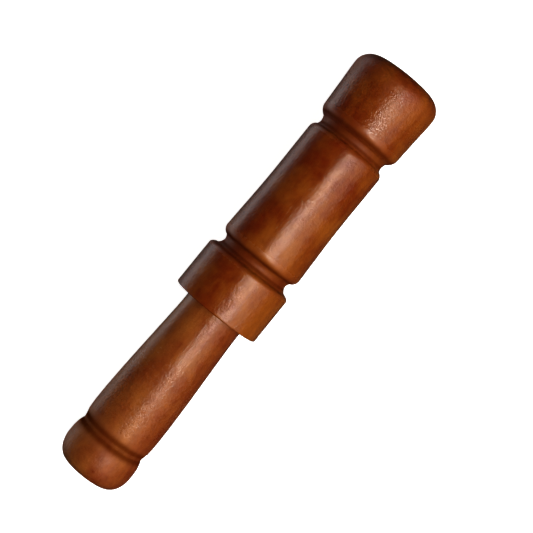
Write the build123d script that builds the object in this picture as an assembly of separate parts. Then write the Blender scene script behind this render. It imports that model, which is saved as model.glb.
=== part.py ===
from build123d import *
import math
import os

# A duck call, in millimetres, lying on its side: +X runs along the call towards the mouth,
# +Z is up. Every piece is first modelled with the call's axis on X and the exhaust end at
# x = 0, then moved so that the origin is under the middle of the call.

# Whole call
TOTAL_LENGTH = 150.0
BARREL_LENGTH = 88.6
COLLAR_RADIUS = 14.6
BARREL_START = TOTAL_LENGTH - BARREL_LENGTH

# Barrel: collar, body and mouthpiece, divided by two turned grooves
COLLAR_END = BARREL_START + 15.0
COLLAR_EDGE_RADIUS = 0.5
COLLAR_TOP_RADIUS = 14.55
BODY_START = 83.8
BODY_MIDDLE = 102.0
BODY_END = 121.4
BODY_START_RADIUS = 13.64
BODY_MIDDLE_RADIUS = 13.06
BODY_END_RADIUS = 13.07
COLLAR_GROOVE = (78.0, 79.8, 81.45)
COLLAR_GROOVE_RADII = (12.55, 11.45, 12.05)
LANYARD_GROOVE = (123.4, 124.75, 126.4)
LANYARD_GROOVE_RADII = (11.76, 11.33, 11.76)
MOUTHPIECE_START = 129.3
MOUTHPIECE_START_RADIUS = 13.73
MOUTHPIECE_MIDDLE = 137.0
MOUTHPIECE_MIDDLE_RADIUS = 14.13
MOUTH_ROUNDING = 5.2
MOUTH_RADIUS = 14.52
MOUTH_FACE_RADIUS = 8.6
MOUTH_LIP = 1.8

# Bores through the barrel
CHAMBER_RADIUS = 7.95
CHAMBER_CHAMFER = 0.6
MOUTH_BORE_RADIUS = 6.35
MOUTH_BORE_LENGTH = 18.0

# Clearances: the gap between a fitted pair, and how far a cut runs past the face it opens
FIT_CLEARANCE = 0.02
OVERCUT = 1.0

# Insert: the stopper that closes the barrel, with its knob at the exhaust end
SEAT_GAP = 0.05
NECK_RADIUS = 9.8
NECK_EDGE = 0.25
INSERT_WAIST = ((57.0, 9.83), (51.0, 10.13), (41.0, 10.66), (31.0, 11.13), (21.0, 11.39))
KNOB_GROOVE_EDGE = (15.6, 11.2)
KNOB_GROOVE = (12.7, 10.64)
KNOB_RADIUS = 11.64
KNOB_ROUNDING = 6.6
KNOB_FACE_RADIUS = 7.4
EXHAUST_BORE_RADIUS = 4.75
EXHAUST_BORE_LENGTH = 40.0
EXHAUST_LIP = 1.5
THROAT_RADIUS = 3.4

# Tenon of the insert, with a groove for each O-ring
TENON_RADIUS = 7.9
TENON_LENGTH = 16.0
TENON_CHAMFER = 0.4
RING_GROOVE_RADIUS = 6.3
RING_GROOVE_WIDTH = 2.0
RING_CENTRES = (66.0, 73.0)
RING_SECTION = 0.8

# Tone board: a shank in the insert's seat, a round head and the long flat lay
SEAT_RADIUS = 5.0
SEAT_DEPTH = 19.4
HEAD_RADIUS = 7.65
HEAD_LENGTH = 12.6
BOARD_TIP_RADIUS = 7.0
BOARD_TIP_EDGE = 1.0
BOARD_LENGTH = 47.1
TROUGH_RADIUS = 2.8
TROUGH_HEIGHT = -1.4
TROUGH_TIP_WALL = 5.0
LAY_HEIGHT = 1.8
LAY_ANGLE = 2.2
LAY_CURVE_START = 117.0
LAY_TIP_HEIGHT = 0.2

# Slot across the head, where a cork wedge holds the reeds' ends down
SLOT_START_WALL = 2.6
SLOT_BACK_HEIGHT = 4.9
SLOT_FRONT_HEIGHT = 5.2
WEDGE_HALF_WIDTH = 5.4
WEDGE_OVERHANG = 0.6
WEDGE_EDGE = 0.25

# Reeds: two strips of polyester film, the short one on top
REED_WIDTH = 13.0
REED_THICKNESS = 0.25
REED_GAP = 0.01
REED_BACK_GAP = 0.1
REED_CORNER = 1.8
LONG_REED_LENGTH = 43.4
SHORT_REED_LENGTH = 39.4
SHORT_REED_LIFT = 0.6
DIMPLE_RADIUS = 2.0
DIMPLE_DEPTH = 0.22
DIMPLE_FROM_TIP = 3.5

# Places worked out from the sizes above
TENON_END = BARREL_START - SEAT_GAP + TENON_LENGTH
SEAT_START = TENON_END - SEAT_DEPTH
HEAD_START = TENON_END + FIT_CLEARANCE
HEAD_END = HEAD_START + HEAD_LENGTH
BOARD_TIP = HEAD_START + BOARD_LENGTH
SLOT_START = HEAD_START + SLOT_START_WALL
REED_START = SLOT_START + REED_BACK_GAP
MOUTH_BORE_START = TOTAL_LENGTH - MOUTH_BORE_LENGTH
CLEAR = 20.0


def turned(edges):
    """A solid of revolution about X from a closed outline in the plane of X and Z."""
    outline = Plane.XZ * make_face(edges)
    return revolve(outline, axis=Axis.X)


def side_cut(points, half_width):
    """A prism across the call with this outline in the plane of X and Z."""
    outline = Plane.XZ * make_face(Polyline(*points, close=True).edges())
    return extrude(outline, amount=half_width, both=True)


def barrel_outside():
    """The outline from the collar's bottom edge to the flat ring at the mouth."""
    corner = BARREL_START + COLLAR_EDGE_RADIUS
    collar_edge = CenterArc(
        (corner, COLLAR_RADIUS - COLLAR_EDGE_RADIUS), COLLAR_EDGE_RADIUS, 90, 90
    )
    collar = Line((corner, COLLAR_RADIUS), (COLLAR_END, COLLAR_TOP_RADIUS))
    groove_2 = list(zip(COLLAR_GROOVE, COLLAR_GROOVE_RADII))
    collar_rounding = Spline(
        (COLLAR_END, COLLAR_TOP_RADIUS), groove_2[0], tangents=((1, 0), (0.12, -1))
    )
    collar_cove = ThreePointArc(*groove_2)
    body_rounding = Spline(
        groove_2[2], (BODY_START, BODY_START_RADIUS), tangents=((0.31, 1), (1, 0))
    )
    body = Spline(
        (BODY_START, BODY_START_RADIUS),
        (BODY_MIDDLE, BODY_MIDDLE_RADIUS),
        (BODY_END, BODY_END_RADIUS),
        tangents=((1, -0.03), (1, -0.005)),
    )
    groove_1 = list(zip(LANYARD_GROOVE, LANYARD_GROOVE_RADII))
    body_edge = Spline(
        (BODY_END, BODY_END_RADIUS), groove_1[0], tangents=((1, 0), (0.36, -1))
    )
    lanyard_cove = ThreePointArc(*groove_1)
    mouthpiece_rounding = Spline(
        groove_1[2],
        (MOUTHPIECE_START, MOUTHPIECE_START_RADIUS),
        tangents=((0.59, 1), (1, 0.05)),
    )
    mouth_corner = (TOTAL_LENGTH - MOUTH_ROUNDING, MOUTH_RADIUS)
    mouthpiece = Spline(
        (MOUTHPIECE_START, MOUTHPIECE_START_RADIUS),
        (MOUTHPIECE_MIDDLE, MOUTHPIECE_MIDDLE_RADIUS),
        mouth_corner,
        tangents=((1, 0.05), (1, 0)),
    )
    mouth_rounding = EllipticalCenterArc(
        (TOTAL_LENGTH - MOUTH_ROUNDING, MOUTH_FACE_RADIUS),
        MOUTH_ROUNDING,
        MOUTH_RADIUS - MOUTH_FACE_RADIUS,
        start_angle=0,
        arc_size=90,
    )
    return [
        collar_edge,
        collar,
        collar_rounding,
        collar_cove,
        body_rounding,
        body,
        body_edge,
        lanyard_cove,
        mouthpiece_rounding,
        mouthpiece,
        mouth_rounding,
    ]


def barrel_inside():
    """The outline from the ring at the mouth, through both bores, to the collar's bottom edge."""
    step = CHAMBER_RADIUS - MOUTH_BORE_RADIUS
    lip_radius = MOUTH_BORE_RADIUS + MOUTH_LIP
    ring = Line((TOTAL_LENGTH, MOUTH_FACE_RADIUS), (TOTAL_LENGTH, lip_radius))
    lip = CenterArc((TOTAL_LENGTH - MOUTH_LIP, lip_radius), MOUTH_LIP, 0, -90)
    bores = Polyline(
        (TOTAL_LENGTH - MOUTH_LIP, MOUTH_BORE_RADIUS),
        (MOUTH_BORE_START, MOUTH_BORE_RADIUS),
        (MOUTH_BORE_START - step, CHAMBER_RADIUS),
        (BARREL_START + CHAMBER_CHAMFER, CHAMBER_RADIUS),
        (BARREL_START, CHAMBER_RADIUS + CHAMBER_CHAMFER),
        (BARREL_START, COLLAR_RADIUS - COLLAR_EDGE_RADIUS),
    )
    return [ring, lip, bores]


def make_barrel():
    """The turned wooden barrel, with the reed chamber and the smaller bore at the mouth."""
    parts = barrel_outside() + barrel_inside()
    return turned([edge for part in parts for edge in part.edges()])


def insert_outside():
    """The outline from the insert's shoulder down to the flat ring at the exhaust end."""
    shoulder = BARREL_START - SEAT_GAP
    edge = CenterArc((shoulder - NECK_EDGE, NECK_RADIUS - NECK_EDGE), NECK_EDGE, 0, 90)
    waist = Spline(
        (shoulder - NECK_EDGE, NECK_RADIUS),
        *INSERT_WAIST,
        KNOB_GROOVE_EDGE,
        tangents=((-1, 0), (-1, -0.1)),
    )
    groove = Spline(KNOB_GROOVE_EDGE, KNOB_GROOVE, tangents=((-1, -0.3), (-1, -0.1)))
    knob = Spline(
        KNOB_GROOVE, (KNOB_ROUNDING, KNOB_RADIUS), tangents=((-1, 0.55), (-1, 0))
    )
    knob_end = EllipticalCenterArc(
        (KNOB_ROUNDING, KNOB_FACE_RADIUS),
        KNOB_ROUNDING,
        KNOB_RADIUS - KNOB_FACE_RADIUS,
        start_angle=90,
        arc_size=90,
    )
    return [edge, waist, groove, knob, knob_end]


def insert_inside():
    """The outline from the exhaust ring, through the bore and seat, to the tenon's end."""
    step = EXHAUST_BORE_RADIUS - THROAT_RADIUS
    lip_radius = EXHAUST_BORE_RADIUS + EXHAUST_LIP
    ring = Line((0, KNOB_FACE_RADIUS), (0, lip_radius))
    lip = CenterArc((EXHAUST_LIP, lip_radius), EXHAUST_LIP, 180, 90)
    bores = Polyline(
        (EXHAUST_LIP, EXHAUST_BORE_RADIUS),
        (EXHAUST_BORE_LENGTH, EXHAUST_BORE_RADIUS),
        (EXHAUST_BORE_LENGTH + step, THROAT_RADIUS),
        (SEAT_START, THROAT_RADIUS),
        (SEAT_START, SEAT_RADIUS),
        (TENON_END, SEAT_RADIUS),
    )
    return [ring, lip, bores]


def tenon_outside():
    """The outline from the tenon's end, over the O-ring grooves, to the shoulder."""
    points = [
        (TENON_END, SEAT_RADIUS),
        (TENON_END, TENON_RADIUS - TENON_CHAMFER),
        (TENON_END - TENON_CHAMFER, TENON_RADIUS),
    ]
    for centre in reversed(RING_CENTRES):
        high = centre + RING_GROOVE_WIDTH / 2
        low = centre - RING_GROOVE_WIDTH / 2
        points += [
            (high, TENON_RADIUS),
            (high, RING_GROOVE_RADIUS),
            (low, RING_GROOVE_RADIUS),
            (low, TENON_RADIUS),
        ]
    shoulder = BARREL_START - SEAT_GAP
    points += [(shoulder, TENON_RADIUS), (shoulder, NECK_RADIUS - NECK_EDGE)]
    return Polyline(*points)


def make_insert_body():
    """The turned wooden stopper: knob, tapered grip, shoulder and tenon."""
    parts = insert_outside() + insert_inside() + [tenon_outside()]
    return turned([edge for part in parts for edge in part.edges()])


def make_o_ring(centre):
    """A rubber O-ring, squeezed to the chamber's radius less a running clearance."""
    ring_radius = RING_GROOVE_RADIUS + FIT_CLEARANCE + RING_SECTION
    section = Plane.XZ * Pos(centre, ring_radius) * Circle(RING_SECTION)
    return revolve(section, axis=Axis.X)


def tone_board_blank():
    """The tone board's round body before the lay, the slot and the trough are cut."""
    shank_radius = SEAT_RADIUS - FIT_CLEARANCE
    outline = Polyline(
        (SEAT_START + FIT_CLEARANCE, 0),
        (SEAT_START + FIT_CLEARANCE, shank_radius),
        (HEAD_START, shank_radius),
        (HEAD_START, HEAD_RADIUS),
        (HEAD_END, HEAD_RADIUS),
        (BOARD_TIP - BOARD_TIP_EDGE, BOARD_TIP_RADIUS),
        (BOARD_TIP, BOARD_TIP_RADIUS - BOARD_TIP_EDGE),
        (BOARD_TIP, 0),
        close=True,
    )
    return turned(outline.edges())


def lay_waste():
    """What is cut away over the lay, which ramps down and then curves to the tip."""
    ramp_drop = (LAY_CURVE_START - HEAD_END) * math.tan(math.radians(LAY_ANGLE))
    curve_start = (LAY_CURVE_START, LAY_HEIGHT - ramp_drop)
    tip = (BOARD_TIP, LAY_TIP_HEIGHT)
    ramp_heading = (math.cos(math.radians(LAY_ANGLE)), -math.sin(math.radians(LAY_ANGLE)))
    curve = TangentArc(curve_start, tip, tangent=ramp_heading)
    rest = Polyline(
        tip,
        (BOARD_TIP + CLEAR, LAY_TIP_HEIGHT),
        (BOARD_TIP + CLEAR, CLEAR),
        (HEAD_END, CLEAR),
        (HEAD_END, LAY_HEIGHT),
        curve_start,
    )
    outline = Plane.XZ * make_face(curve.edges() + rest.edges())
    return extrude(outline, amount=CLEAR, both=True)


def wedge_slot():
    """The slot across the head, over the flat that the reeds lie on."""
    points = [
        (SLOT_START, LAY_HEIGHT),
        (HEAD_END + OVERCUT, LAY_HEIGHT),
        (HEAD_END + OVERCUT, SLOT_FRONT_HEIGHT),
        (SLOT_START, SLOT_BACK_HEIGHT),
    ]
    return side_cut(points, CLEAR)


def trough():
    """The air way: a round bore under the slot, open on top along the lay."""
    bore_start = SEAT_START - OVERCUT
    bore_end = BOARD_TIP - TROUGH_TIP_WALL
    bore_circle = Plane.YZ.offset(bore_start) * Pos(0, TROUGH_HEIGHT) * Circle(TROUGH_RADIUS)
    bore = extrude(bore_circle, amount=bore_end - TROUGH_RADIUS - bore_start)
    opening_start = HEAD_END + OVERCUT
    opening_length = bore_end - opening_start
    middle = (opening_start + bore_end) / 2
    opening_outline = Pos(middle, 0, TROUGH_HEIGHT) * SlotOverall(
        opening_length, 2 * TROUGH_RADIUS
    )
    opening = extrude(opening_outline, amount=CLEAR)
    round_end = Pos(bore_end - TROUGH_RADIUS, 0, TROUGH_HEIGHT) * Sphere(TROUGH_RADIUS)
    return bore + opening + round_end


def make_tone_board():
    """The plastic tone board that the reeds lie on."""
    return tone_board_blank() - lay_waste() - wedge_slot() - trough()


def make_cork_wedge():
    """The cork wedge that fills the slot over the reeds' ends."""
    bottom = LAY_HEIGHT + 2 * (REED_THICKNESS + REED_GAP) + REED_GAP
    rise = (SLOT_FRONT_HEIGHT - SLOT_BACK_HEIGHT) / (HEAD_END + OVERCUT - SLOT_START)
    start = SLOT_START + FIT_CLEARANCE
    end = HEAD_END + WEDGE_OVERHANG
    top = SLOT_BACK_HEIGHT - FIT_CLEARANCE
    points = [
        (start, bottom),
        (end, bottom),
        (end, top + rise * (end - start)),
        (start, top),
    ]
    block = side_cut(points, WEDGE_HALF_WIDTH)
    front_edges = block.faces().sort_by(Axis.X)[-1].edges()
    return chamfer(front_edges, WEDGE_EDGE)


def reed_outline(length):
    """A reed seen from above: square at its clamped end, with clipped corners at its tip."""
    half = REED_WIDTH / 2
    end = REED_START + length
    points = [
        (REED_START, -half),
        (end - REED_CORNER, -half),
        (end, REED_CORNER - half),
        (end, half - REED_CORNER),
        (end - REED_CORNER, half),
        (REED_START, half),
    ]
    return extrude(make_face(Polyline(*points, close=True).edges()), amount=CLEAR)


def reed_strip(length, lower):
    """A strip of film whose underside follows these points, cut to the reed's outline."""
    upper = [(x, z + REED_THICKNESS) for x, z in reversed(lower)]
    return side_cut(lower + upper, REED_WIDTH) & reed_outline(length)


def make_long_reed():
    """The lower reed, which beats against the lay."""
    underside = LAY_HEIGHT + REED_GAP
    end = REED_START + LONG_REED_LENGTH
    return reed_strip(LONG_REED_LENGTH, [(REED_START, underside), (end, underside)])


def make_short_reed():
    """The upper reed, with a dimple that keeps the two reeds from sticking together."""
    underside = LAY_HEIGHT + 2 * REED_GAP + REED_THICKNESS
    slope = math.tan(math.radians(SHORT_REED_LIFT))
    end = REED_START + SHORT_REED_LENGTH
    end_height = underside + (end - HEAD_END) * slope
    lower = [(REED_START, underside), (HEAD_END, underside), (end, end_height)]
    strip = reed_strip(SHORT_REED_LENGTH, lower)
    dimple_x = end - DIMPLE_FROM_TIP
    dimple_height = underside + (dimple_x - HEAD_END) * slope
    centre = Pos(dimple_x, 0, dimple_height + DIMPLE_RADIUS - DIMPLE_DEPTH)
    keep = Pos(dimple_x, 0, dimple_height - DIMPLE_DEPTH / 2) * Box(
        2 * DIMPLE_RADIUS, 2 * DIMPLE_RADIUS, 2 * DIMPLE_DEPTH
    )
    cap = centre * Sphere(DIMPLE_RADIUS) & keep
    return strip + cap - centre * Sphere(DIMPLE_RADIUS - REED_THICKNESS)


def write_part(name, shape):
    """Moves a piece to its place over the origin and writes it as one STEP."""
    placed = Pos(-TOTAL_LENGTH / 2, 0, COLLAR_RADIUS) * shape
    placed.label = name
    export_step(placed, f"parts/{name}.step")


os.makedirs("parts", exist_ok=True)
write_part("barrel", make_barrel())
write_part("insert_body", make_insert_body())
write_part("tone_board", make_tone_board())
write_part("long_reed", make_long_reed())
write_part("short_reed", make_short_reed())
write_part("cork_wedge", make_cork_wedge())
write_part("rear_o_ring", make_o_ring(RING_CENTRES[0]))
write_part("front_o_ring", make_o_ring(RING_CENTRES[1]))
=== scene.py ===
"""The looks of a turned wooden duck call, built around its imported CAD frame, in metres."""

import math

import bpy
from mathutils import Matrix, Vector, noise


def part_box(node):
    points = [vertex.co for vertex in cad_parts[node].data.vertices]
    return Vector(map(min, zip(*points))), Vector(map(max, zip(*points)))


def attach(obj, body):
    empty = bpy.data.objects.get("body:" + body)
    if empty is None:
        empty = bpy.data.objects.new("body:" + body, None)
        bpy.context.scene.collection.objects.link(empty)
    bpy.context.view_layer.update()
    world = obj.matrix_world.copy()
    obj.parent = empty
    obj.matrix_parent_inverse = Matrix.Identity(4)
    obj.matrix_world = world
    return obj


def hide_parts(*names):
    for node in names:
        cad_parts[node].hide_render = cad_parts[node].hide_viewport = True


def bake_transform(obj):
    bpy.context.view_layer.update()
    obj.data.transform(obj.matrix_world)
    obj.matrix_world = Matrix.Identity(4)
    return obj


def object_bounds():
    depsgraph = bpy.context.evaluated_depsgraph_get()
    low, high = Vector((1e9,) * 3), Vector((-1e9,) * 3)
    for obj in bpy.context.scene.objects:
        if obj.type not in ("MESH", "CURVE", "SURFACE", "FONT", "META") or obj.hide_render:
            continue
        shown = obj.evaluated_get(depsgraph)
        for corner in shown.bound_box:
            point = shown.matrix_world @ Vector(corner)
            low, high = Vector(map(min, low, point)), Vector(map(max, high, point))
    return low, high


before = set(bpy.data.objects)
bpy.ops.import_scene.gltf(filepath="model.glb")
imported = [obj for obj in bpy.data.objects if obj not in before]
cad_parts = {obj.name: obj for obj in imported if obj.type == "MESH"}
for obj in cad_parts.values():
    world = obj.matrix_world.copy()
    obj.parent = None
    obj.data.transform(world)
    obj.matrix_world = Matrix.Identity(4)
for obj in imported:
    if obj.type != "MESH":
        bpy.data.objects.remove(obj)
cad_low, cad_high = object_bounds()

# The call's axis lies along X. Outlines are written in millimetres, each point as its distance from
# the exhaust end and its radius. lathe() turns them into the frame's metres.
MM = 0.001
barrel_low, barrel_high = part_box("barrel")
AXIS_HEIGHT = (barrel_low.z + barrel_high.z) / 2
EXHAUST_X = cad_low.x
TOTAL_LENGTH = (cad_high.x - cad_low.x) / MM
BARREL_START = (barrel_low.x - EXHAUST_X) / MM
COLLAR_RADIUS = (barrel_high.z - barrel_low.z) / 2 / MM

# How finely the turned pieces are meshed: the points round them, and the millimetres between the
# points of an outline on the visible skin, on an end face and in the bores
SEGMENTS = 200
FINE_STEP = 0.3
FACE_STEP = 1.0
COARSE_STEP = 2.5


# ---------------------------------------------------------------------------------------------
# Outlines
# ---------------------------------------------------------------------------------------------


def spread(start, end, step):
    """Points from start to end, without start, about this far apart."""
    count = max(1, math.ceil(math.dist(start, end) / step))
    return [
        (start[0] + (end[0] - start[0]) * i / count, start[1] + (end[1] - start[1]) * i / count)
        for i in range(1, count + 1)
    ]


class Outline:
    """A chain of points (distance along the call, radius) drawn with lines, arcs and curves."""

    def __init__(self, start, step):
        self.points = [start]
        self.step = step

    def line(self, *ends, step=None):
        """Straight lines through these points."""
        for end in ends:
            self.points += spread(self.points[-1], end, step or self.step)
        return self

    def arc(self, centre, radii, start, turn):
        """An elliptical arc from this angle, turning by this many degrees."""
        length = math.radians(abs(turn)) * max(radii)
        count = max(6, math.ceil(length / self.step))
        for i in range(1, count + 1):
            angle = math.radians(start + turn * i / count)
            point = (centre[0] + radii[0] * math.cos(angle), centre[1] + radii[1] * math.sin(angle))
            self.points.append(point)
        return self

    def curve(self, ends, first_way, last_way):
        """A smooth cubic through these points, leaving and arriving in these directions."""
        knots = [self.points[-1], *ends]
        ways = [first_way]
        for before, after in zip(knots, knots[2:]):
            ways.append((after[0] - before[0], after[1] - before[1]))
        ways.append(last_way)
        for (a, b), (way_a, way_b) in zip(zip(knots, knots[1:]), zip(ways, ways[1:])):
            self.points += hermite(a, b, way_a, way_b, self.step)
        return self


def hermite(a, b, way_a, way_b, step):
    """Points of one cubic span from a to b, without a, that runs along way_a at a and way_b at b."""
    reach = math.dist(a, b)
    pull_a = reach / math.hypot(*way_a)
    pull_b = reach / math.hypot(*way_b)
    count = max(4, math.ceil(reach / step))
    points = []
    for i in range(1, count + 1):
        t = i / count
        weights = (
            2 * t**3 - 3 * t**2 + 1,
            (t**3 - 2 * t**2 + t) * pull_a,
            3 * t**2 - 2 * t**3,
            (t**3 - t**2) * pull_b,
        )
        points.append(
            tuple(
                weights[0] * a[k] + weights[1] * way_a[k] + weights[2] * b[k] + weights[3] * way_b[k]
                for k in (0, 1)
            )
        )
    return points


# ---------------------------------------------------------------------------------------------
# Meshes
# ---------------------------------------------------------------------------------------------


def add_piece(name, vertices, faces, sharp_angle=40):
    """A smooth mesh object that keeps edges sharp where its faces turn by more than this angle."""
    mesh = bpy.data.meshes.new(name)
    mesh.from_pydata(vertices, [], faces)
    mesh.validate()
    mesh.update()
    for polygon in mesh.polygons:
        polygon.use_smooth = True
    mesh.set_sharp_from_angle(angle=math.radians(sharp_angle))
    piece = bpy.data.objects.new(name, mesh)
    bpy.context.scene.collection.objects.link(piece)
    return piece


def give_attribute(piece, name, values):
    """Stores one number for each vertex, for the material to read."""
    attribute = piece.data.attributes.new(name, "FLOAT", "POINT")
    attribute.data.foreach_set("value", values)


def lathe(name, points, relief):
    """Turns a closed outline about the call's axis. relief() sinks the outer skin a little."""
    vertices = []
    for u, radius in points:
        for k in range(SEGMENTS):
            angle = 2 * math.pi * k / SEGMENTS
            y = math.sin(angle)
            z = math.cos(angle)
            r = radius - relief(u, radius, y, z)
            vertices.append((EXHAUST_X + u * MM, r * y * MM, AXIS_HEIGHT + r * z * MM))
    faces = []
    rings = len(points)
    for i in range(rings):
        here = i * SEGMENTS
        there = (i + 1) % rings * SEGMENTS
        for k in range(SEGMENTS):
            after = (k + 1) % SEGMENTS
            faces.append((here + k, here + after, there + after, there + k))
    return add_piece(name, vertices, faces)


# ---------------------------------------------------------------------------------------------
# Shader nodes
# ---------------------------------------------------------------------------------------------


class Graph:
    """A material's node tree, with a short way to add a node and feed its sockets."""

    def __init__(self, name):
        self.material = bpy.data.materials.new(name)
        self.material.use_nodes = True
        self.tree = self.material.node_tree
        self.tree.nodes.clear()

    def add(self, kind, feeds=None, **settings):
        """A node of this kind with its settings. feeds gives its sockets links or plain values."""
        made = self.tree.nodes.new("ShaderNode" + kind)
        for key, value in settings.items():
            setattr(made, key, value)
        for key, value in (feeds or {}).items():
            if isinstance(value, bpy.types.NodeSocket):
                self.tree.links.new(value, made.inputs[key])
            else:
                made.inputs[key].default_value = value
        return made

    def place(self, scale=(1, 1, 1)):
        """Object coordinates in millimetres, times this scale."""
        source = self.add("TexCoord").outputs["Object"]
        factor = tuple(value / MM for value in scale)
        return self.add("VectorMath", {0: source, 1: factor}, operation="MULTIPLY").outputs[0]

    def attribute(self, name):
        """The number that every vertex carries under this name."""
        return self.add("Attribute", attribute_name=name).outputs["Fac"]

    def noise(self, scale, detail=3.0, rough=0.5, stretch=(1, 1, 1)):
        """Noise with this many lumps per millimetre, times the stretch along each axis."""
        feeds = {"Vector": self.place(stretch), "Scale": scale, "Detail": detail, "Roughness": rough}
        return self.add("TexNoise", feeds).outputs["Fac"]

    def remap(self, value, low, high, new_low=0.0, new_high=1.0):
        """Turns low to high into new_low to new_high, and holds what lies beyond at those ends."""
        feeds = {"Value": value, "From Min": low, "From Max": high, "To Min": new_low, "To Max": new_high}
        return self.add("MapRange", feeds, clamp=True).outputs["Result"]

    def math(self, operation, a, b):
        return self.add("Math", {0: a, 1: b}, operation=operation).outputs[0]

    def mix(self, factor, a, b):
        """Colour a where the factor is 0 and b where it is 1."""
        made = self.add("Mix", {"Factor": factor}, data_type="RGBA")
        for socket, value in zip(made.inputs[6:8], (a, b)):
            if isinstance(value, bpy.types.NodeSocket):
                self.tree.links.new(value, socket)
            else:
                socket.default_value = (*value, 1.0)
        return made.outputs[2]

    def bump(self, height, strength, distance_mm, normal=None):
        """A relief of this height, on top of an earlier one if its normal is given."""
        feeds = {"Height": height, "Strength": strength, "Distance": distance_mm * MM}
        if normal is not None:
            feeds["Normal"] = normal
        return self.add("Bump", feeds).outputs["Normal"]

    def finish(self, **feeds):
        """Ends the tree in one shader. A socket's name is written with _ for its spaces."""
        shader = self.add("BsdfPrincipled", {key.replace("_", " "): feeds[key] for key in feeds})
        self.add("OutputMaterial", {"Surface": shader.outputs[0]})
        return self.material


# ---------------------------------------------------------------------------------------------
# Materials
# ---------------------------------------------------------------------------------------------

# The stain's darkest tone, the two tones of the barrel, the two of the insert, and wood without stain
DEEP_RED = (0.085, 0.016, 0.003)
RED_BROWN = (0.185, 0.028, 0.003)
ORANGE_BROWN = (0.315, 0.095, 0.013)
DUSTY_RED = (0.220, 0.048, 0.011)
DUSTY_BROWN = (0.340, 0.116, 0.026)
BARE_WOOD = (0.42, 0.24, 0.11)


# The trunk's heart lies this far from the frame's origin, on its -Y side and below it. The rings waver
# by up to RING_WAVER, and RING_RATE is their wave's turn in radians for each millimetre.
HEART_ASIDE = 34.0
HEART_BELOW = 21.0
RING_WAVER = 7.0
RING_RATE = 2.1


def growth_rings(graph):
    """Rings of a trunk whose heart lies beside the call, wavering slowly along the grain."""
    wander = graph.noise(0.09, 2.0, 0.5, (0.25, 1, 1))
    place = graph.add("SeparateXYZ", {0: graph.place()}).outputs
    y = graph.math("ADD", place["Y"], HEART_ASIDE)
    z = graph.math("ADD", place["Z"], HEART_BELOW)
    across = graph.add("CombineXYZ", {"Y": y, "Z": z}).outputs[0]
    from_heart = graph.add("VectorMath", {0: across}, operation="LENGTH").outputs["Value"]
    from_heart = graph.math("ADD", from_heart, graph.math("MULTIPLY", wander, RING_WAVER))
    wave = graph.math("SINE", graph.math("MULTIPLY", from_heart, RING_RATE), 0.0)
    return graph.remap(wave, -1.0, 1.0)


# The stretches of the call, along X and across Y in millimetres, over which a stain's lean and the
# painted light and shade across the call run
LEAN_ALONG = (-70.0, 70.0)
SIDE_SHADE_SPAN = (-12.0, 12.0)


def stain_and_side_shade(graph, along_lean, painted_side_shade):
    """Slow patches of the stain, light where they are high, with a lean along the call and painted light
    and shade across it.
    """
    patches = graph.noise(0.085, 3.0, 0.55, (0.8, 1, 1))
    place = graph.add("SeparateXYZ", {0: graph.place()}).outputs
    patches = graph.math("ADD", patches, graph.remap(place["X"], *LEAN_ALONG, *along_lean))
    # Painted light and shade: one flank of the piece lighter, the other darker
    return graph.math("ADD", patches, graph.remap(place["Y"], *SIDE_SHADE_SPAN, *painted_side_shade))


def lacquer_relief(graph, specks, pores, smooth):
    """The lacquer's orange peel in three sizes and the pores' dents, all but gone where it is smooth."""
    relief = graph.remap(smooth, 0.0, 1.0, 0.9, 0.05)
    normal = graph.bump(graph.noise(0.8, 2.0, 0.5), relief, 0.06)
    normal = graph.bump(specks, relief, 0.13, normal)
    normal = graph.bump(graph.noise(2.5, 2.0, 0.6), relief, 0.07, normal)
    dents = graph.math("MULTIPLY", relief, 0.22)
    return graph.bump(graph.remap(pores, 0.60, 0.74, 1.0, 0.0), dents, 0.04, normal)


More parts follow.
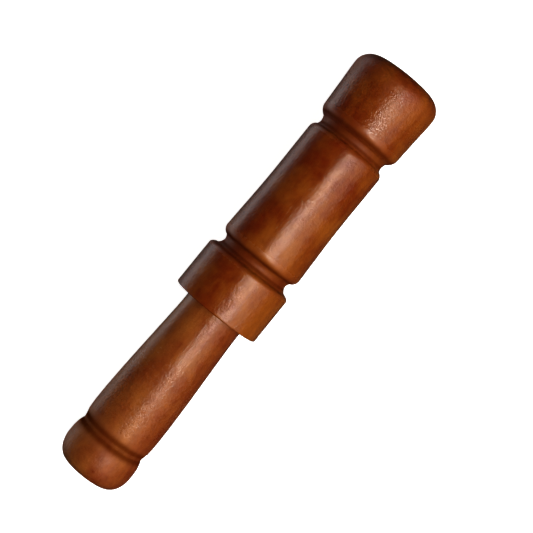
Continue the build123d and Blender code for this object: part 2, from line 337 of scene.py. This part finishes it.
def stained_wood(name, dark_tone, light_tone, along_lean, painted_side_shade, lacquer):
    """Turned wood under a dark red-brown stain and a satin lacquer with a fine orange peel.

    A lean along the call makes the stain lighter where it is high, its first value at the exhaust end and
    its second at the mouth.
    Across the call the lean is painted light and shade, lighter where it is high, its first value on the
    -Y side and its second on the +Y side. lacquer is the gloss of the open skin.
    """
    graph = Graph(name)
    clouds = graph.noise(0.32, 3.0, 0.6, (0.8, 1, 1))
    mottle = graph.noise(0.75, 3.0, 0.6)
    fibres = graph.noise(1.0, 3.0, 0.6, (0.2, 2.6, 2.6))
    pores = graph.noise(1.0, 2.0, 0.5, (0.35, 5.5, 5.5))
    specks = graph.noise(1.3, 2.0, 0.55)
    rings = growth_rings(graph)
    crease_shade = graph.attribute("crease_shade")
    smooth = graph.attribute("smooth")
    bare = graph.attribute("bare")
    dull = graph.attribute("dull")

    # The stained skin from its largest pattern to its finest, with painted light and shade on its flanks
    # and in its creases
    patches = stain_and_side_shade(graph, along_lean, painted_side_shade)
    tone = graph.mix(graph.remap(patches, 0.36, 0.62), dark_tone, light_tone)
    tone = graph.mix(graph.remap(clouds, 0.35, 0.65, 0.0, 0.30), tone, light_tone)
    for darkening in (
        graph.remap(mottle, 0.40, 0.65, 0.0, 0.15),
        graph.math("MULTIPLY", rings, 0.12),
        graph.remap(fibres, 0.50, 0.72, 0.0, 0.14),
        graph.remap(pores, 0.64, 0.74, 0.0, 0.30),
        # painted shade in the grooves' creases and on their floors
        graph.math("MULTIPLY", crease_shade, 0.70),
    ):
        tone = graph.mix(darkening, tone, DEEP_RED)

    # The wood of the bores and the tenon
    raw = graph.mix(graph.math("MULTIPLY", rings, 0.5), BARE_WOOD, RED_BROWN)
    raw = graph.mix(graph.remap(pores, 0.60, 0.70, 0.0, 0.6), raw, RED_BROWN)
    tone = graph.mix(bare, tone, raw)

    # The lacquer is rougher where it is handled, in the grooves and on their walls
    rough = graph.remap(clouds, 0.3, 0.7, 0.13, 0.21)
    for roughening in (
        graph.remap(specks, 0.35, 0.65, -0.05, 0.06),
        graph.math("MULTIPLY", dull, 0.18),
        graph.math("MULTIPLY", smooth, 0.16),
        graph.math("MULTIPLY", crease_shade, 0.25),
    ):
        rough = graph.math("ADD", rough, roughening)
    rough = graph.math("MAXIMUM", rough, graph.math("MULTIPLY", bare, 0.7))
    shine = graph.remap(crease_shade, 0.0, 1.0, lacquer, 0.06)
    shine = graph.math("SUBTRACT", shine, graph.math("MULTIPLY", dull, 0.10))
    normal = lacquer_relief(graph, specks, pores, smooth)
    return graph.finish(Base_Color=tone, Roughness=rough, Specular_IOR_Level=shine, Normal=normal)


def board_plastic():
    """Moulded plastic with a faint flow pattern and fine sanding marks."""
    graph = Graph("board_plastic")
    flow = graph.noise(0.15, 3.0, 0.5, (0.3, 1, 1))
    grit = graph.noise(4.0, 2.0, 0.6, (0.15, 1, 1))
    tone = graph.mix(graph.remap(flow, 0.3, 0.7), (0.012, 0.012, 0.013), (0.028, 0.027, 0.027))
    rough = graph.remap(grit, 0.3, 0.7, 0.28, 0.46)
    return graph.finish(Base_Color=tone, Roughness=rough, Normal=graph.bump(grit, 0.25, 0.03))


def reed_film():
    """Frosted polyester film."""
    graph = Graph("reed_film")
    haze = graph.noise(0.5, 3.0, 0.6)
    scuff = graph.noise(1.0, 3.0, 0.6, (0.3, 2, 2))
    tone = graph.mix(graph.remap(haze, 0.35, 0.65), (0.46, 0.49, 0.52), (0.56, 0.585, 0.61))
    rough = graph.remap(scuff, 0.3, 0.7, 0.36, 0.39)
    return graph.finish(
        Base_Color=tone,
        Roughness=rough,
        Normal=graph.bump(haze, 0.05, 0.02),
        Transmission_Weight=0.25,
        IOR=1.6,
    )


def cork_bark():
    """Cork with dark lenticels and a fine cell grain."""
    graph = Graph("cork_bark")
    cells = graph.noise(1.6, 4.0, 0.65)
    patches = graph.noise(0.45, 3.0, 0.6)
    spots = graph.noise(0.9, 2.0, 0.5, (1.0, 1.6, 0.7))
    tone = graph.mix(graph.remap(cells, 0.3, 0.7), (0.42, 0.24, 0.115), (0.66, 0.44, 0.25))
    tone = graph.mix(graph.remap(patches, 0.4, 0.7, 0.0, 0.5), tone, (0.34, 0.18, 0.08))
    tone = graph.mix(graph.remap(spots, 0.62, 0.68), tone, (0.10, 0.045, 0.02))
    normal = graph.bump(cells, 0.6, 0.12)
    return graph.finish(Base_Color=tone, Roughness=0.88, Normal=normal)


def ring_rubber():
    """Black rubber with a dusty bloom."""
    graph = Graph("ring_rubber")
    bloom = graph.noise(0.7, 3.0, 0.6)
    tone = graph.mix(graph.remap(bloom, 0.35, 0.7), (0.010, 0.010, 0.011), (0.045, 0.044, 0.043))
    rough = graph.remap(bloom, 0.3, 0.7, 0.42, 0.62)
    return graph.finish(Base_Color=tone, Roughness=rough, Normal=graph.bump(bloom, 0.2, 0.04))


def dress(piece, material):
    """Gives a piece its material, in its only slot."""
    piece.data.materials.clear()
    piece.data.materials.append(material)


def dress_node(node, material):
    """Gives a CAD node that stays its material."""
    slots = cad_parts[node].material_slots
    if not slots:
        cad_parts[node].data.materials.append(material)
        return
    for slot in slots:
        slot.material = material


# ---------------------------------------------------------------------------------------------
# Turned wood: the barrel and the insert
# ---------------------------------------------------------------------------------------------

# The barrel's skin, from the collar's sharp edge to the rounded mouth
COLLAR_EDGE = 0.5
COLLAR_END = (76.4, 14.55)
COLLAR_GROOVE = ((78.0, 12.55), (79.8, 11.45), (81.45, 12.05))
BODY = ((83.8, 13.64), (102.0, 13.06), (121.4, 13.07))
LANYARD_GROOVE = ((123.4, 11.76), (124.75, 11.33), (126.4, 11.76))
MOUTHPIECE = ((129.3, 13.73), (137.0, 14.13))
MOUTH_ROUNDING = 5.2
MOUTH_RADIUS = 14.52
MOUTH_FACE_RADIUS = 8.6
MOUTH_LIP = 1.8

# The barrel's bore: the narrow mouth, then the chamber that takes the insert
MOUTH_BORE_RADIUS = 6.35
MOUTH_BORE_START = 132.0
CHAMBER_RADIUS = 7.95
CHAMBER_CHAMFER = 0.6

# The insert's skin, from the shoulder under the collar to the knob
SEAT_GAP = 0.05
SHOULDER_EDGE = 0.25
NECK_RADIUS = 9.8
GRIP = ((57.0, 9.83), (51.0, 10.13), (41.0, 10.66), (31.0, 11.13), (21.0, 11.39), (15.6, 11.2))
KNOB_GROOVE = (12.7, 10.64)
KNOB_ROUNDING = 6.6
KNOB_RADIUS = 11.64
KNOB_FACE_RADIUS = 7.4

# The insert's bore, the tone board's seat and the tenon with its two O-ring grooves
EXHAUST_LIP = 1.5
EXHAUST_BORE_RADIUS = 4.75
EXHAUST_BORE_LENGTH = 40.0
THROAT_RADIUS = 3.4
TENON_RADIUS = 7.9
TENON_CHAMFER = 0.4
TENON_END = BARREL_START - SEAT_GAP + 16.0
SEAT_RADIUS = 5.0
SEAT_START = TENON_END - 19.4
RING_GROOVE_RADIUS = 6.3
RING_GROOVE_HALF = 1.0
RING_CENTRES = (66.0, 73.0)

# The collar is drawn this much inside its CAD radius, so that the skin stays in the CAD box
COLLAR_INSET = 0.015


def barrel_outline():
    """Closed, from the collar's edge along the skin to the mouth and back through the bore."""
    edge = COLLAR_EDGE
    top = COLLAR_RADIUS - COLLAR_INSET
    outline = Outline((BARREL_START, top - edge), FINE_STEP)
    outline.arc((BARREL_START + edge, top - edge), (edge, edge), 180, -90)
    outline.line((COLLAR_END[0], COLLAR_END[1] - COLLAR_INSET))
    outline.curve([COLLAR_GROOVE[0]], (1, 0), (0.12, -1))
    outline.curve(COLLAR_GROOVE[1:], (0.8, -1), (0.95, 1))
    outline.curve([BODY[0]], (0.31, 1), (1, 0))
    outline.curve(BODY[1:], (1, -0.03), (1, -0.005))
    outline.curve([LANYARD_GROOVE[0]], (1, 0), (0.36, -1))
    outline.curve(LANYARD_GROOVE[1:], (1, -0.65), (1, 0.5))
    outline.curve([MOUTHPIECE[0]], (0.59, 1), (1, 0.05))
    rounding_centre = (TOTAL_LENGTH - MOUTH_ROUNDING, MOUTH_FACE_RADIUS)
    outline.curve([MOUTHPIECE[1], (rounding_centre[0], MOUTH_RADIUS)], (1, 0.05), (1, 0))
    outline.arc(rounding_centre, (MOUTH_ROUNDING, MOUTH_RADIUS - MOUTH_FACE_RADIUS), 90, -90)
    lip_centre = (TOTAL_LENGTH - MOUTH_LIP, MOUTH_BORE_RADIUS + MOUTH_LIP)
    outline.line((TOTAL_LENGTH, lip_centre[1]))
    outline.arc(lip_centre, (MOUTH_LIP, MOUTH_LIP), 0, -90)
    step = CHAMBER_RADIUS - MOUTH_BORE_RADIUS
    outline.line(
        (MOUTH_BORE_START, MOUTH_BORE_RADIUS),
        (MOUTH_BORE_START - step, CHAMBER_RADIUS),
        (BARREL_START + CHAMBER_CHAMFER, CHAMBER_RADIUS),
        (BARREL_START, CHAMBER_RADIUS + CHAMBER_CHAMFER),
        step=COARSE_STEP,
    )
    outline.line((BARREL_START, top - edge), step=FACE_STEP)
    return outline.points[:-1]


def insert_outline():
    """Closed, from the shoulder along the skin to the knob, back through the bore and over the tenon."""
    edge = SHOULDER_EDGE
    shoulder = BARREL_START - SEAT_GAP
    outline = Outline((shoulder, NECK_RADIUS - edge), FINE_STEP)
    outline.arc((shoulder - edge, NECK_RADIUS - edge), (edge, edge), 0, 90)
    outline.curve(GRIP, (-1, 0), (-1, -0.1))
    outline.curve([KNOB_GROOVE], (-1, -0.3), (-1, -0.1))
    outline.curve([(KNOB_ROUNDING, KNOB_RADIUS)], (-1, 0.55), (-1, 0))
    rounding_centre = (KNOB_ROUNDING, KNOB_FACE_RADIUS)
    outline.arc(rounding_centre, (KNOB_ROUNDING, KNOB_RADIUS - KNOB_FACE_RADIUS), 90, 90)
    lip_centre = (EXHAUST_LIP, EXHAUST_BORE_RADIUS + EXHAUST_LIP)
    outline.line((0, lip_centre[1]))
    outline.arc(lip_centre, (EXHAUST_LIP, EXHAUST_LIP), 180, 90)
    step = EXHAUST_BORE_RADIUS - THROAT_RADIUS
    outline.line(
        (EXHAUST_BORE_LENGTH, EXHAUST_BORE_RADIUS),
        (EXHAUST_BORE_LENGTH + step, THROAT_RADIUS),
        (SEAT_START, THROAT_RADIUS),
        (SEAT_START, SEAT_RADIUS),
        (TENON_END, SEAT_RADIUS),
        (TENON_END, TENON_RADIUS - TENON_CHAMFER),
        (TENON_END - TENON_CHAMFER, TENON_RADIUS),
        step=COARSE_STEP,
    )
    for centre in reversed(RING_CENTRES):
        outline.line(
            (centre + RING_GROOVE_HALF, TENON_RADIUS),
            (centre + RING_GROOVE_HALF, RING_GROOVE_RADIUS),
            (centre - RING_GROOVE_HALF, RING_GROOVE_RADIUS),
            (centre - RING_GROOVE_HALF, TENON_RADIUS),
            step=COARSE_STEP,
        )
    outline.line((shoulder, TENON_RADIUS), (shoulder, NECK_RADIUS - edge), step=FACE_STEP)
    return outline.points[:-1]


# What is further out than this is skin, what is further in is a bore or an end's inner part
SKIN_INNER_RADIUS = 9.0

# The turned grooves: the two creases at the foot of their walls, where shade is painted darker into the
# stain, and how far this painted shade reaches to either side. Between the creases the floor keeps this
# much of it.
CREASES = ((79.0, 81.8, 0.80), (124.4, 127.4, 0.85), (12.2, 14.4, 1.2))
FLOOR_SHADE = 0.62

# The tool left the grooves' walls smooth this far from the creases, with a short way back to the skin
WALL_REACH = 3.0
WALL_FADE = 0.6

# The stain ends at this radius, and a little way into both openings
STAINED_FROM_RADIUS = 8.2
BARE_STRETCH = (3.0, 145.0)

# Where handling begins to dull the lacquer, and where it is dullest
DULL_KNOB = (50.0, 15.0)
DULL_MOUTH = (132.0, 145.0)

# The slow waves of hand sanding and the fine peel of the lacquer: how deep both are, and how many
# lumps a millimetre has, for the sanding along the call and round it. The shift parts the two.
FINISH_DEPTH = 0.04
SANDING = (0.055, 0.09)
PEEL = 0.55
PEEL_SHIFT = 9.0


def ramp(value, start, end):
    """0 at the start, 1 at the end, even between them."""
    return max(0.0, min(1.0, (value - start) / (end - start)))


def painted_crease_shade(u, radius):
    """Painted shade, from 0 on the open skin to 1 in the creases of a turned groove."""
    depth = 0.0
    for first, second, reach in CREASES:
        if radius > SKIN_INNER_RADIUS:
            floor = FLOOR_SHADE if first < u < second else 0.0
            away = min(abs(u - first), abs(u - second)) / reach
            depth = max(depth, floor, math.exp(-away * away))
    return depth


def groove_nearness(u, radius):
    """1 in a turned groove and on its walls, which the tool left smooth, 0 on the open skin."""
    away = min(max(first - u, u - second, 0.0) for first, second, _ in CREASES)
    return ramp(away, WALL_REACH, WALL_REACH - WALL_FADE)


def hand_finish(u, radius, y, z):
    """How far the sanded and lacquered skin dips below the turned outline, in millimetres."""
    if radius <= SKIN_INNER_RADIUS:
        return 0.0
    along, around = SANDING
    slow = noise.noise(Vector((u * along, radius * y * around, radius * z * around)))
    peel = noise.noise(Vector((u * PEEL, radius * y * PEEL + PEEL_SHIFT, radius * z * PEEL)))
    peel *= 1 - groove_nearness(u, radius)
    return FINISH_DEPTH * (slow + 1) / 2 + FINISH_DEPTH * (peel + 1) / 2


def bare_wood(u, radius):
    """1 where the wood was left without stain: in the bores and on the tenon."""
    start, end = BARE_STRETCH
    return 1.0 if radius < STAINED_FROM_RADIUS and start < u < end else 0.0


def handled(u, radius):
    """1 at the knob and at the mouth, where hands and lips have dulled the lacquer, 0 between them."""
    return max(ramp(u, *DULL_KNOB), ramp(u, *DULL_MOUTH))


# What the wood's material reads at each vertex, worked out from its place along the call and its radius
SURFACES = (
    # painted shade in the grooves, which also makes them rougher and less glossy
    ("crease_shade", painted_crease_shade),
    ("smooth", groove_nearness),
    ("bare", bare_wood),
    ("dull", handled),
)


def turned_piece(name, points, material):
    """A turned outline with its hand finish, its wood and the values that the wood reads."""
    piece = lathe(name, points, hand_finish)
    for attribute, value_at in SURFACES:
        values = [value_at(*point) for point in points for _ in range(SEGMENTS)]
        give_attribute(piece, attribute, values)
    dress(piece, material)
    return piece


barrel_wood = stained_wood(
    "stained_wood",
    RED_BROWN,
    ORANGE_BROWN,
    along_lean=(0.05, -0.12),
    # painted light and shade: lighter on the -Y flank, darker on the +Y flank
    painted_side_shade=(0.11, -0.08),
    lacquer=0.50,
)
barrel = turned_piece("turned_barrel", barrel_outline(), barrel_wood)
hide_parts("barrel")
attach(barrel, "barrel")

insert_wood = stained_wood(
    "paler_stained_wood",
    DUSTY_RED,
    DUSTY_BROWN,
    along_lean=(0.02, 0.10),
    # painted light and shade: darker on the -Y flank, lighter on the +Y flank
    painted_side_shade=(-0.20, 0.12),
    lacquer=0.42,
)
insert = turned_piece("turned_insert", insert_outline(), insert_wood)
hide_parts("insert_body")
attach(insert, "insert")


# ---------------------------------------------------------------------------------------------
# The sound board: board, reeds, wedge and O-rings
# ---------------------------------------------------------------------------------------------

# Past a hinge close behind the wedge's front edge a reed may rise, and the reeds' free ends have cut
# corners. The short reed rises a little and has a dimple near its end.
HINGE_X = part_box("cork_wedge")[1].x - 0.6 * MM
FILM_THICKNESS = 0.25 * MM
FILM_CORNER = 1.8 * MM
FILM_STEP = 0.3 * MM
FILM_ROWS = 44
SHORT_RISE = math.tan(math.radians(0.6))
DIMPLE_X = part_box("short_reed")[1].x - 3.5 * MM
DIMPLE_RADIUS = 1.1 * MM
DIMPLE_DEPTH = 0.2 * MM


def dimple(x, y):
    """How far the film is pressed down here by a round dimple on its middle line."""
    reach = math.hypot(x - DIMPLE_X, y) / DIMPLE_RADIUS
    return DIMPLE_DEPTH * math.cos(min(1.0, reach) * math.pi / 2) ** 2


def film_points(node, columns, rise, dimpled):
    """Rows of points across the film, first its underside and then its top."""
    low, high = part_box(node)
    half = (high.y - low.y) / 2
    points = []
    for side in (0, 1):
        for i in range(columns + 1):
            x = low.x + (high.x - low.x) * i / columns
            room = min(half, half - (x - (high.x - FILM_CORNER)))
            lift = max(0.0, x - HINGE_X) * rise
            for j in range(FILM_ROWS + 1):
                y = room * (2 * j / FILM_ROWS - 1)
                dent = dimple(x, y) if dimpled else 0.0
                points.append((x, y, low.z + lift - dent + FILM_THICKNESS * side))
    return points


def film_strip(name, node, rise=0.0, dimpled=False):
    """A strip of film in the place of a CAD reed, level under the wedge and then rising."""
    low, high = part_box(node)
    columns = math.ceil((high.x - low.x) / FILM_STEP)
    row = FILM_ROWS + 1
    top = (columns + 1) * row
    faces = []
    for i in range(columns):
        for j in range(FILM_ROWS):
            a = i * row + j
            b = a + row
            faces.append((a, a + 1, b + 1, b))
            faces.append((top + a, top + b, top + b + 1, top + a + 1))
    rim = [i * row for i in range(columns + 1)]
    rim += [columns * row + j for j in range(1, row)]
    rim += [i * row + FILM_ROWS for i in reversed(range(columns))]
    rim += list(reversed(range(1, FILM_ROWS)))
    for a, b in zip(rim, rim[1:] + rim[:1]):
        faces.append((a, b, top + b, top + a))
    return add_piece(name, film_points(node, columns, rise, dimpled), faces, 30)


film = reed_film()
board = board_plastic()
rubber = ring_rubber()

long_film = film_strip("long_reed_film", "long_reed")
short_film = film_strip("short_reed_film", "short_reed", SHORT_RISE, dimpled=True)
for strip, node in ((long_film, "long_reed"), (short_film, "short_reed")):
    dress(strip, film)
    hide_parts(node)
    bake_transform(strip)

dress_node("tone_board", board)
dress_node("rear_o_ring", rubber)
dress_node("front_o_ring", rubber)


# The wedge thins by this much to its rear end. Its corners are worn round, and its mesh is this fine.
# It is drawn a little inside its CAD solid, and a crumbly grain and deeper pits go further in.
CORK_THINNING = 0.28 * MM
CORK_ROUNDING = 0.35 * MM
CORK_FINENESS = 0.14 * MM
CORK_INSET = 0.03 * MM
CORK_GRAIN = 0.03 * MM
CORK_PITS = 0.45 * MM
PIT_THRESHOLD = 0.32


def cork_block():
    """The wedge as a block with worn corners and open pits, inside its CAD solid."""
    low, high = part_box("cork_wedge")
    middle = (low + high) / 2
    size = high - low
    bpy.ops.mesh.primitive_cube_add(size=1)
    block = bpy.context.active_object
    block.name = "cork_block"
    block.data.name = "cork_block"
    for vertex in block.data.vertices:
        x, y, z = vertex.co
        drop = CORK_THINNING * (0.5 - x) if z > 0 else 0.0
        vertex.co = Vector((middle.x + x * size.x, middle.y + y * size.y, middle.z + z * size.z - drop))
    for kind, settings in (
        ("BEVEL", {"width": CORK_ROUNDING, "segments": 3}),
        ("REMESH", {"mode": "VOXEL", "voxel_size": CORK_FINENESS}),
    ):
        modifier = block.modifiers.new(kind, kind)
        for key, value in settings.items():
            setattr(modifier, key, value)
    evaluated = block.evaluated_get(bpy.context.evaluated_depsgraph_get())
    shaped = bpy.data.meshes.new_from_object(evaluated)
    block.modifiers.clear()
    block.data = shaped
    for vertex in shaped.vertices:
        place = vertex.co / MM
        grain = noise.noise(place * 1.7)
        pit = noise.noise(Vector((place.x, place.y * 1.3, place.z * 0.8)) * 0.9)
        pit = max(0.0, pit - PIT_THRESHOLD)
        inward = (middle - vertex.co).normalized()
        vertex.co += inward * (CORK_INSET + CORK_GRAIN * grain + CORK_PITS * pit)
    for polygon in shaped.polygons:
        polygon.use_smooth = True
    return block


wedge = cork_block()
dress(wedge, cork_bark())
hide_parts("cork_wedge")
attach(wedge, "insert")


# ---------------------------------------------------------------------------------------------
# Stage: floor, lights and camera
# ---------------------------------------------------------------------------------------------


def stage_material():
    """A pale paper sweep that is bright by itself, so that it stays even to its edges."""
    graph = Graph("paper")
    speck = graph.noise(0.02, 2.0, 0.5)
    tone = graph.mix(speck, (0.80, 0.80, 0.79), (0.83, 0.83, 0.82))
    diffuse = graph.add("BsdfDiffuse", {"Color": tone})
    glow = graph.add("Emission", {"Color": tone, "Strength": 0.83})
    both = graph.add("AddShader", {0: diffuse.outputs[0], 1: glow.outputs[0]})
    graph.add("OutputMaterial", {"Surface": both.outputs[0]})
    return graph.material


def paper_sweep():
    """A round floor that curves up into a wall all round."""
    flat = 1.6
    bend = 0.8
    wall = 1.6
    steps = 12
    count = 96
    rings = [(0.0, 0.0), (flat, 0.0)]
    for i in range(1, steps + 1):
        angle = math.pi / 2 * i / steps
        rings.append((flat + bend * math.sin(angle), bend - bend * math.cos(angle)))
    rings.append((flat + bend, bend + wall))
    vertices = [(0.0, 0.0, cad_low.z)]
    for radius, height in rings[1:]:
        for k in range(count):
            angle = 2 * math.pi * k / count
            vertices.append((radius * math.cos(angle), radius * math.sin(angle), cad_low.z + height))
    faces = [(0, 1 + k, 1 + (k + 1) % count) for k in range(count)]
    for i in range(len(rings) - 2):
        here = 1 + i * count
        there = here + count
        for k in range(count):
            after = (k + 1) % count
            faces.append((here + k, there + k, there + after, here + after))
    sweep = add_piece("paper_sweep", vertices, faces)
    sweep.data.materials.append(stage_material())
    sweep.visible_diffuse = False
    sweep.visible_glossy = False
    sweep.visible_shadow = False


def surroundings():
    """A dim, even room."""
    world = bpy.data.worlds.new("room")
    bpy.context.scene.world = world
    world.use_nodes = True
    back = world.node_tree.nodes["Background"]
    back.inputs["Color"].default_value = (1.0, 0.97, 0.94, 1.0)
    back.inputs["Strength"].default_value = 0.05


def softbox(name, lean, along, distance, size, radiance, gloss=True, colour=(1, 1, 1)):
    """An area light facing the call's axis, that leans this many degrees from overhead towards -Y.

    along is its place along the call, distance its distance from the axis, and size its length along
    the call and its width, all in metres. radiance is how bright it looks. With gloss it shows only in
    reflections, and without it only in the matt colour.
    """
    data = bpy.data.lights.new(name, "AREA")
    data.shape = "RECTANGLE"
    data.size, data.size_y = size
    data.energy = radiance * math.pi * size[0] * size[1]
    data.color = colour
    light = bpy.data.objects.new(name, data)
    bpy.context.scene.collection.objects.link(light)
    light.visible_camera = False
    light.visible_diffuse = not gloss
    light.visible_glossy = gloss
    angle = math.radians(lean)
    away = Vector((0, -math.sin(angle), math.cos(angle)))
    place = Vector((along, 0, AXIS_HEIGHT)) + away * distance
    x_axis = Vector((1, 0, 0))
    turn = Matrix((x_axis, away.cross(x_axis), away)).transposed()
    light.matrix_world = Matrix.Translation(place) @ turn.to_4x4()


# The camera's place above the call's axis, what it looks at, and its turn and view in degrees
CAMERA_HEIGHT = 0.420
CAMERA_X = 0.0218
CAMERA_TARGET_X = 0.0062
CAMERA_Y = -0.00333
CALL_ANGLE = 50.92
VIEW_ANGLE = 21.21


def photo_camera():
    """Above the call and a little to its mouth end, turned so that the mouth points up and right."""
    data = bpy.data.cameras.new("camera")
    data.sensor_width = 36.0
    data.lens = data.sensor_width / 2 / math.tan(math.radians(VIEW_ANGLE) / 2)
    data.clip_start = 0.01
    data.clip_end = 20.0
    camera = bpy.data.objects.new("camera", data)
    bpy.context.scene.collection.objects.link(camera)
    place = Vector((CAMERA_X, CAMERA_Y, AXIS_HEIGHT + CAMERA_HEIGHT))
    target = Vector((CAMERA_TARGET_X, CAMERA_Y, AXIS_HEIGHT))
    back = (place - target).normalized()
    angle = math.radians(CALL_ANGLE)
    right = Vector((math.cos(angle), -math.sin(angle), 0))
    right = (right - back * right.dot(back)).normalized()
    up = back.cross(right)
    turn = Matrix((right, up, back)).transposed()
    camera.matrix_world = Matrix.Translation(place) @ turn.to_4x4()
    bpy.context.scene.camera = camera


WARM = (1.0, 0.88, 0.75)
AMBER = (1.0, 0.86, 0.70)

paper_sweep()
surroundings()

# The light on the wood's colour
softbox("key", 31, 0.0, 0.60, (0.45, 0.45), 5.9, gloss=False)
softbox("bounce", -120, 0.0, 0.60, (0.60, 0.30), 1.8, gloss=False)

# Two narrow panes make the bright streak along the call, and two dim ones let it fade at its ends
softbox("mouth_pane", 15.5, 0.060, 0.60, (0.102, 0.014), 126.0, colour=WARM)
softbox("exhaust_pane", 28, -0.056, 0.60, (0.086, 0.015), 112.0, colour=WARM)
softbox("mouth_fringe", 20, 0.16, 0.61, (0.30, 0.032), 9.0, colour=WARM)
softbox("exhaust_fringe", 28, -0.17, 0.61, (0.30, 0.032), 9.0, colour=WARM)

# A broad sheen beside the streak, and a pale edge on the other side
softbox("window", 50, 0.0, 0.60, (1.40, 0.50), 1.5, colour=AMBER)
softbox("rim", -114, 0.0, 0.60, (1.00, 0.30), 1.05)
softbox("wide_rim", -118, 0.0, 0.62, (1.20, 0.90), 0.15)

photo_camera()
bpy.context.scene.view_settings.view_transform = "Standard"
bpy.context.scene.view_settings.look = "High Contrast"
